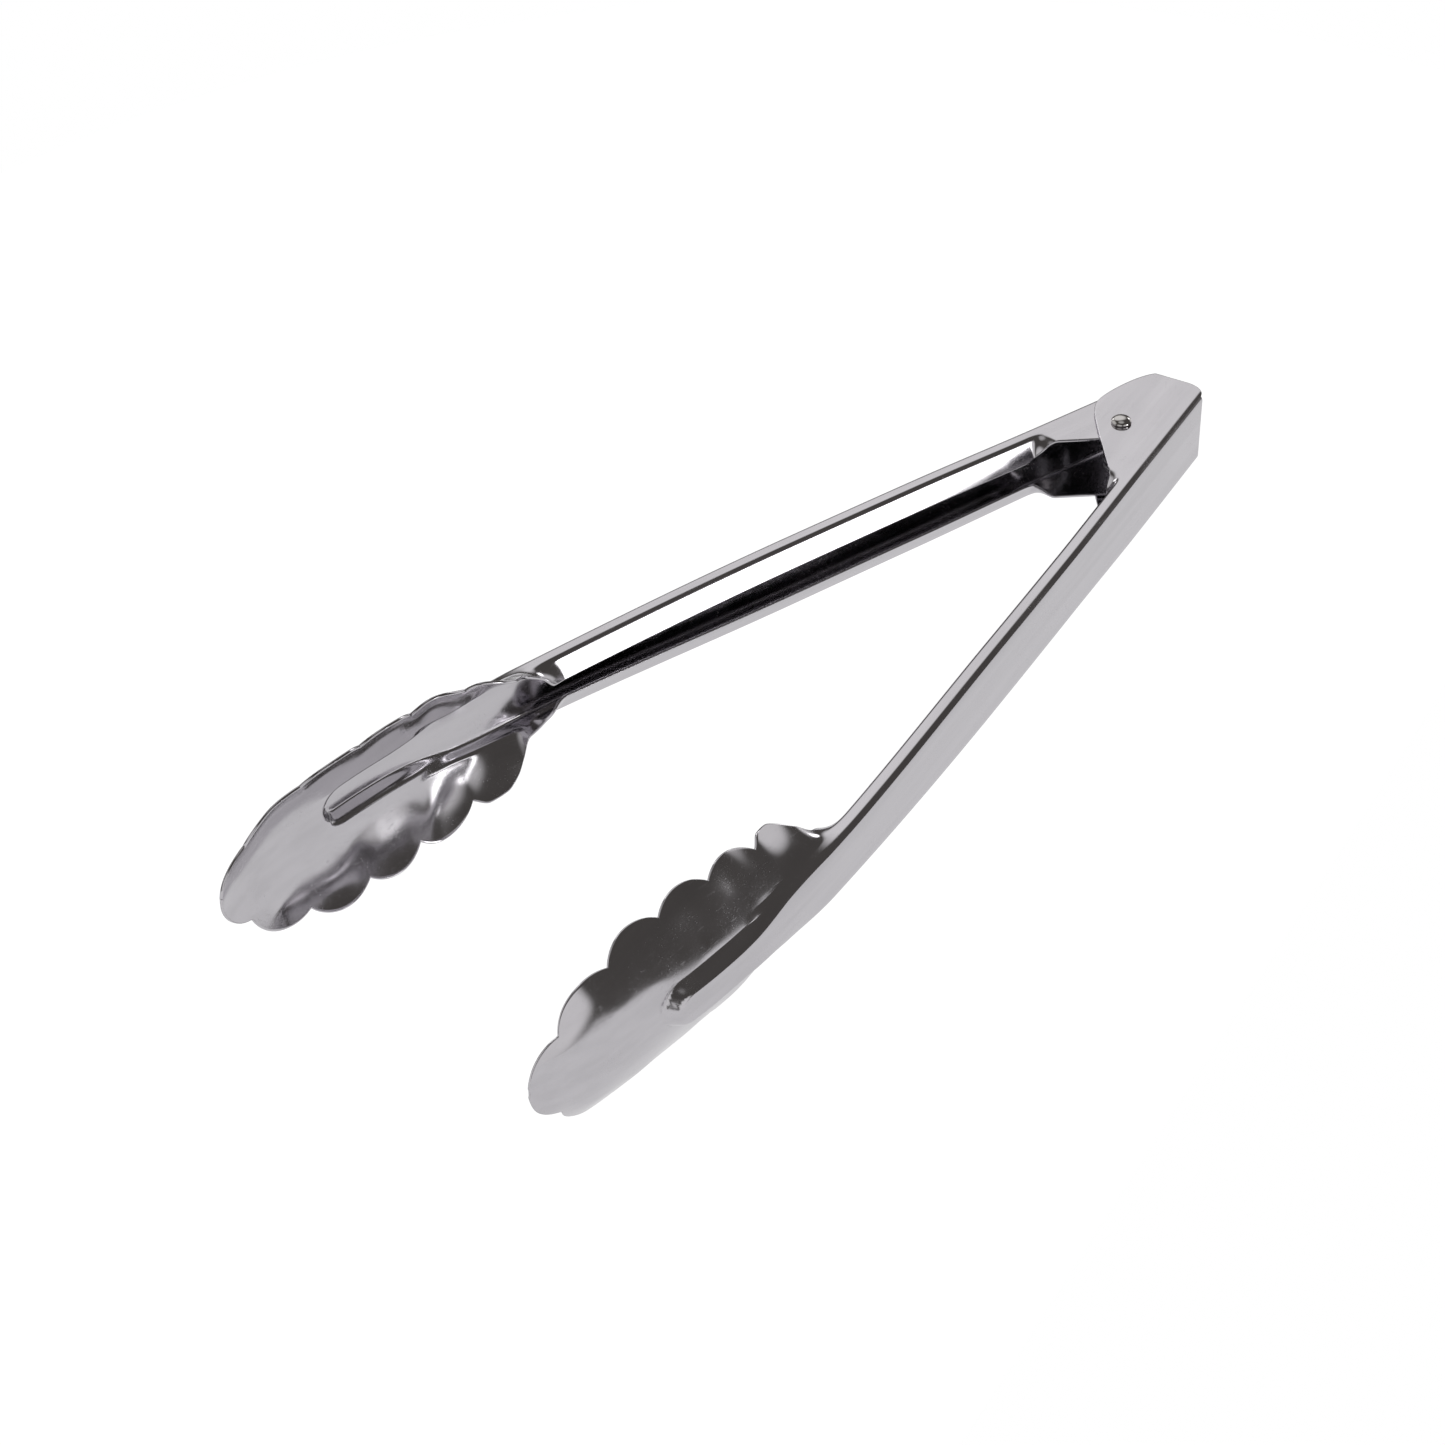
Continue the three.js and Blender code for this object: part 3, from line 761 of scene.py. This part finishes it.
def camera():
    """The photograph's viewpoint: a long lens, above and to the jaws' side of the outer arm."""
    back = direction(CAMERA_AZIMUTH, CAMERA_ELEVATION)
    data = bpy.data.cameras.new("camera")
    data.sensor_width = CAMERA_SENSOR
    data.lens = CAMERA_LENS
    data.clip_start = 0.05
    item = bpy.data.objects.new("camera", data)
    upright = back.to_track_quat("Z", "Y")
    roll = Matrix.Rotation(math.radians(CAMERA_ROLL), 3, "Z").to_quaternion()
    item.rotation_mode = "QUATERNION"
    item.rotation_quaternion = upright @ roll
    item.location = CAMERA_AIM + back * CAMERA_DISTANCE
    bpy.context.scene.collection.objects.link(item)
    bpy.context.scene.camera = item


def studio_world():
    """Dark studio with soft light panels. The camera itself sees the plain pale backdrop."""
    world = bpy.data.worlds.new("studio")
    bpy.context.scene.world = world
    world.use_nodes = True
    n = Nodes(world.node_tree)
    looking = n.add("ShaderNodeTexCoord").outputs["Generated"]
    total = 0.0
    for panel in PANELS:
        towards = direction(panel["azimuth"], panel["elevation"])
        nearness = n.add("ShaderNodeVectorMath", {0: looking, 1: towards}, operation="DOT_PRODUCT")
        faded = math.cos(math.radians(panel["faded"]))
        even = math.cos(math.radians(panel["even"]))
        glow = n.step(nearness.outputs["Value"], faded, even, 0.0, panel["strength"])
        total = n.math("ADD", glow, total)
    light = n.blend(1.0, (*STUDIO_DARKNESS, 1), total, blend_type="ADD")
    is_camera = n.add("ShaderNodeLightPath").outputs["Is Camera Ray"]
    seen = n.blend(is_camera, light, (*BACKDROP, 1))
    background = n.add("ShaderNodeBackground", {"Color": seen, "Strength": 1.0})
    n.add("ShaderNodeOutputWorld", {"Surface": background.outputs[0]})


def floor_material():
    """Pale grey that glows, so it shows no shadow."""
    material = bpy.data.materials.new("pale_floor")
    material.use_nodes = True
    n = Nodes(material.node_tree)
    seen = n.add("ShaderNodeLightPath").outputs["Is Camera Ray"]
    glow = n.step(seen, 0, 1, FLOOR_GLOW_CAST, FLOOR_GLOW_SEEN)
    shader = n.add("ShaderNodeBsdfPrincipled", {
        "Base Color": (*FLOOR_COLOUR, 1),
        "Roughness": 0.9,
        "Emission Color": (1, 1, 1, 1),
        "Emission Strength": glow,
    })
    n.add("ShaderNodeOutputMaterial", {"Surface": shader.outputs[0]})
    return material


def floor():
    """Table that the jaws and the lower rivet head rest on.

    It ends a short way outside the outer arm, so that arm's upper side mirrors the dark studio.
    """
    jaw_x = PIVOT.x + JAWS_ON_FLOOR
    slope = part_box("pivot_rivet")[0].z / (jaw_x - PIVOT.x)
    outwards = direction(90 + math.degrees(OPEN_HALF_ANGLE), 0)
    points = [(0, 0, 0)]
    for k in range(FLOOR_SIDES):
        turn = 2 * math.pi * k / FLOOR_SIDES
        rim = Vector((FLOOR_RADIUS * math.cos(turn), FLOOR_RADIUS * math.sin(turn), 0))
        beyond = (rim - PIVOT).dot(outwards) - FLOOR_MARGIN
        if beyond > 0:
            rim -= outwards * beyond
        points.append(tuple(rim))
    faces = [(0, 1 + k, 1 + (k + 1) % FLOOR_SIDES) for k in range(FLOOR_SIDES)]
    placed = np.array(points, float)
    placed[:, 2] = (jaw_x - placed[:, 0]) * slope - FLOOR_CLEARANCE
    piece = new_object("floor", placed, faces, smooth=False)
    piece.data.materials.append(floor_material())


def softbox():
    """Low softbox beside the tongs, mirrored in the inner arm's lip."""
    data = bpy.data.lights.new("low_softbox", "AREA")
    data.shape = "RECTANGLE"
    data.size, data.size_y = SOFTBOX_SIZE
    data.spread = SOFTBOX_SPREAD
    data.energy = SOFTBOX_ENERGY
    item = bpy.data.objects.new("low_softbox", data)
    item.location = SOFTBOX_AIM + direction(SOFTBOX_AZIMUTH, SOFTBOX_ELEVATION) * SOFTBOX_DISTANCE
    item.rotation_mode = "QUATERNION"
    item.rotation_quaternion = (SOFTBOX_AIM - item.location).to_track_quat("-Z", "Y")
    bpy.context.scene.collection.objects.link(item)


camera()
bpy.context.scene.view_settings.view_transform = "Standard"
studio_world()
floor()
softbox()

arms = {name: arm_piece(name, arm) for name, arm in ARMS.items()}
for name, piece in arms.items():
    cut_rivet_hole(piece)
    turn = ARMS[name]["side"] * OPEN_HALF_ANGLE
    piece.data.materials.append(steel(name + "_steel", *ARM_STEEL, turn))
    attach(piece, ARMS[name]["body"])
    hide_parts(name)

rivet = rivet_piece()
rivet.data.materials.append(steel("rivet_steel", *RIVET_STEEL))
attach(rivet, "outer_body")
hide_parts("pivot_rivet")

spring = spring_piece()
spring.data.materials.append(steel("spring_steel", *SPRING_STEEL))
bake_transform(spring)
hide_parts("torsion_spring")
